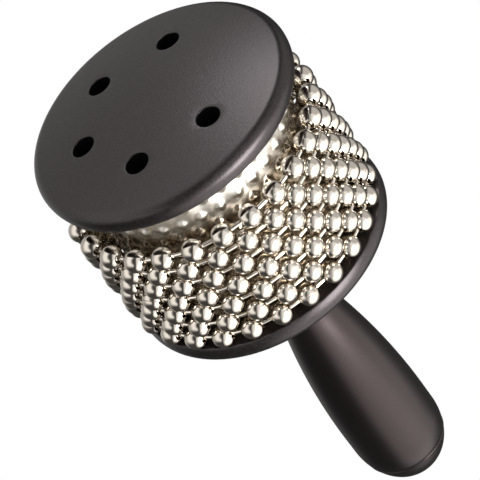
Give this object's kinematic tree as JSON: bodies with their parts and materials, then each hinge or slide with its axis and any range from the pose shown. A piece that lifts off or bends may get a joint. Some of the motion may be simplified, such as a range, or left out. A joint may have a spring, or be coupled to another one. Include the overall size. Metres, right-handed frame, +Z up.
{
  "type": "cabasa",
  "caption": "Hand cabasa: embossed steel drum between two dark flanges, loose ball-chain loops that turn round it, crowned disc with sound holes, bulb-shaped handle.",
  "frame": {"origin": "on the axis at the handle's widest ring, where the hand closes round it", "axes": "+Z up the axis from the handle to the crowned disc; +X towards the plain place between the sound holes"},
  "size_m": [0.0992, 0.0992, 0.2044],
  "materials": {
    "charcoal_moulding": "charcoal satin moulding with a fine grain",
    "charcoal_grip": "smooth charcoal satin moulding",
    "black_core": "plain black moulding",
    "polished_sheet": "polished stainless sheet, embossed",
    "nickel_beads": "bright nickel plate",
    "link_wire": "bright drawn wire",
    "bolt_steel": "zinc-plated steel",
    "insert_brass": "turned brass"
  },
  "bodies": {
    "frame": {"top_flange": "charcoal_moulding", "bottom_flange": "charcoal_moulding", "drum_core": "black_core", "drum_sleeve": "polished_sheet", "centre_tube": "black_core", "handle": "charcoal_grip", "handle_end_cap": "charcoal_grip", "tie_rod": "bolt_steel", "bolt_washer": "bolt_steel", "spring_washer": "bolt_steel", "insert_nut": "insert_brass"},
    "chain_1": {"chain_1_beads": "nickel_beads", "chain_1_links": "link_wire"},
    "chain_2": {"chain_2_beads": "nickel_beads", "chain_2_links": "link_wire"},
    "chain_3": {"chain_3_beads": "nickel_beads", "chain_3_links": "link_wire"},
    "chain_4": {"chain_4_beads": "nickel_beads", "chain_4_links": "link_wire"},
    "chain_5": {"chain_5_beads": "nickel_beads", "chain_5_links": "link_wire"},
    "chain_6": {"chain_6_beads": "nickel_beads", "chain_6_links": "link_wire"},
    "chain_7": {"chain_7_beads": "nickel_beads", "chain_7_links": "link_wire"}
  },
  "joints": [
    {"name": "chain_turn", "type": "hinge", "parent": "frame", "child": "chain_7", "pos_m": [0, 0, 0.1046], "axis": [0, 0, 1], "continuous": true},
    {"name": "chain_6_lift", "type": "slide", "parent": "chain_7", "child": "chain_6", "axis": [0, 0, 1], "range_m": [0, 0.0021]},
    {"name": "chain_5_lift", "type": "slide", "parent": "chain_6", "child": "chain_5", "axis": [0, 0, 1], "range_m": [0, 0.0021]},
    {"name": "chain_4_lift", "type": "slide", "parent": "chain_5", "child": "chain_4", "axis": [0, 0, 1], "range_m": [0, 0.0021]},
    {"name": "chain_3_lift", "type": "slide", "parent": "chain_4", "child": "chain_3", "axis": [0, 0, 1], "range_m": [0, 0.0021]},
    {"name": "chain_2_lift", "type": "slide", "parent": "chain_3", "child": "chain_2", "axis": [0, 0, 1], "range_m": [0, 0.0021]},
    {"name": "chain_1_lift", "type": "slide", "parent": "chain_2", "child": "chain_1", "axis": [0, 0, 1], "range_m": [0, 0.0021]}
  ]
}
